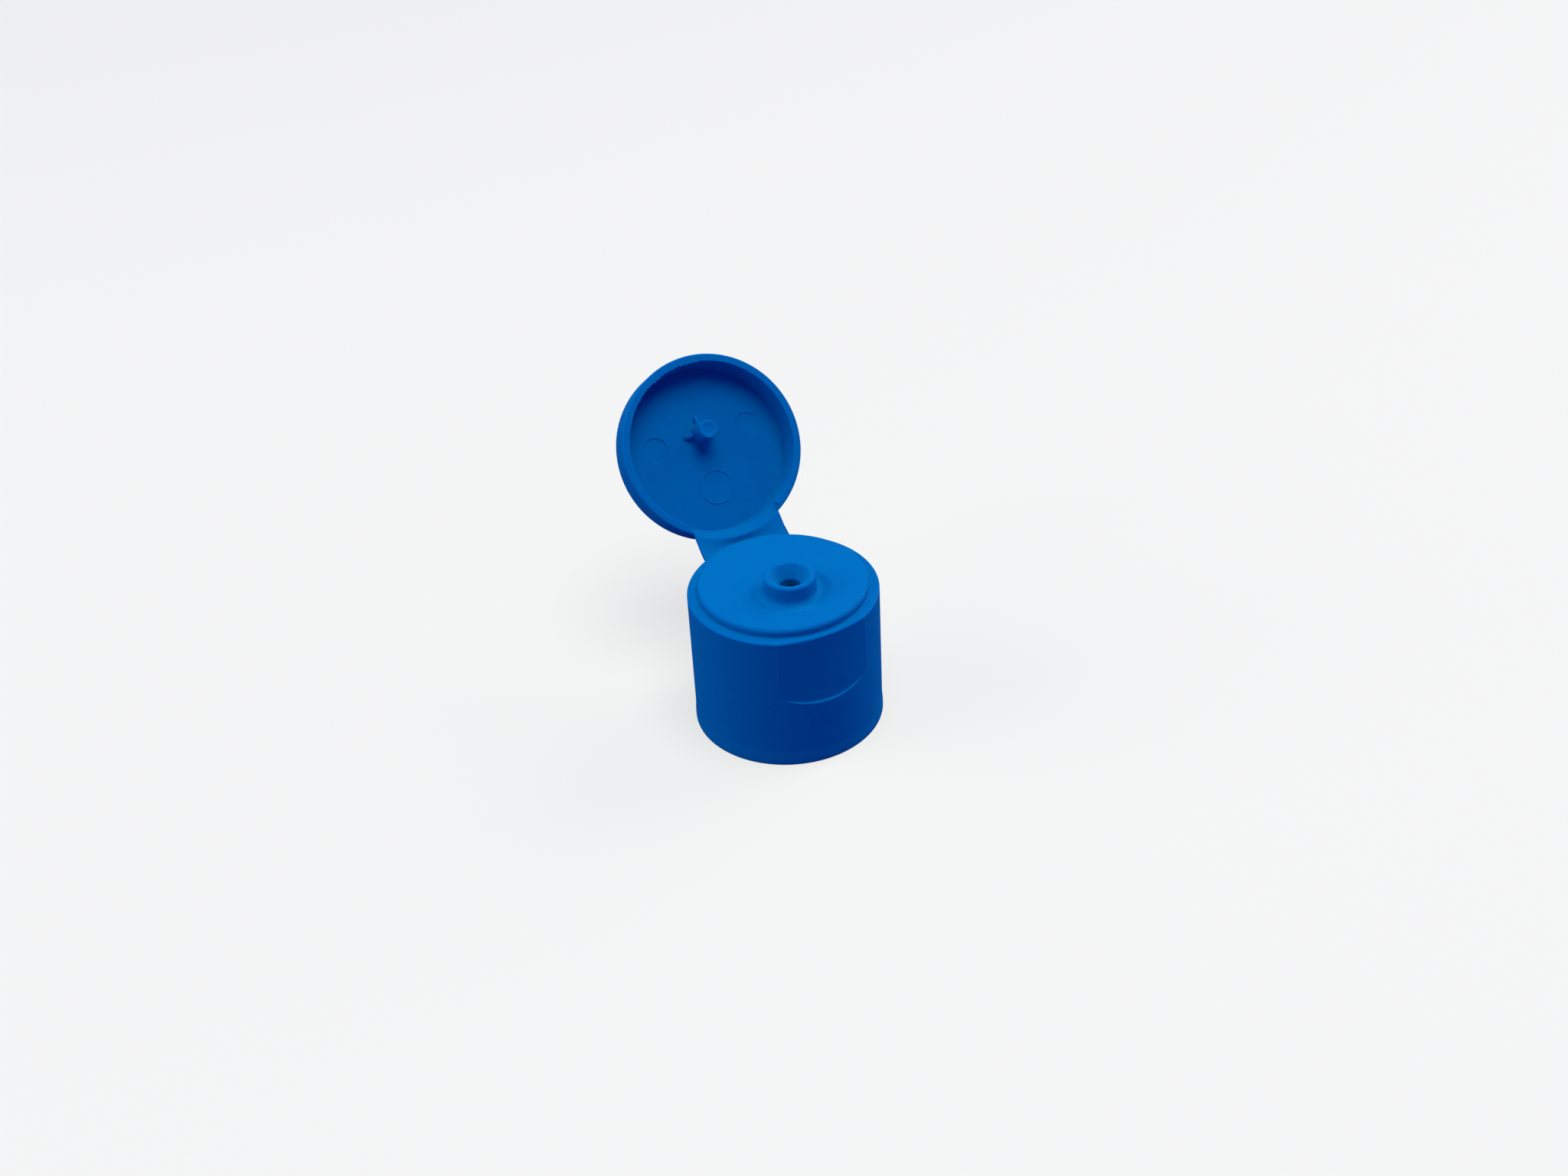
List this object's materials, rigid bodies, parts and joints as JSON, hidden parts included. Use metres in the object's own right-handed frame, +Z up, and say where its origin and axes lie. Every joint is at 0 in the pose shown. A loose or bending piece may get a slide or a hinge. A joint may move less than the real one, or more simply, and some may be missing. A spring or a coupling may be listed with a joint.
{
  "type": "flip top cap",
  "caption": "round one-piece dispensing closure with a pouring nozzle, a thumb recess and a lid on a living hinge, standing open",
  "frame": {"origin": "centre of the open base, on the skirt's axis, where the closure stands", "axes": "+Z up along the skirt, -Y to the front with the thumb recess, +Y to the hinge, +X to the right seen from the front"},
  "size_m": [0.0282, 0.049, 0.045],
  "materials": {
    "moulded_plastic": "satin blue polypropylene"
  },
  "bodies": {
    "body": {"cap_body": "moulded_plastic", "hinge_strap": "moulded_plastic"},
    "lid": {"lid": "moulded_plastic"}
  },
  "joints": [
    {"name": "lid_hinge", "type": "hinge", "parent": "body", "child": "lid", "pos_m": [0, 0.0144, 0.0222], "axis": [-1, 0, 0], "range_deg": [-127, 53], "deforming": ["hinge_strap"]}
  ]
}
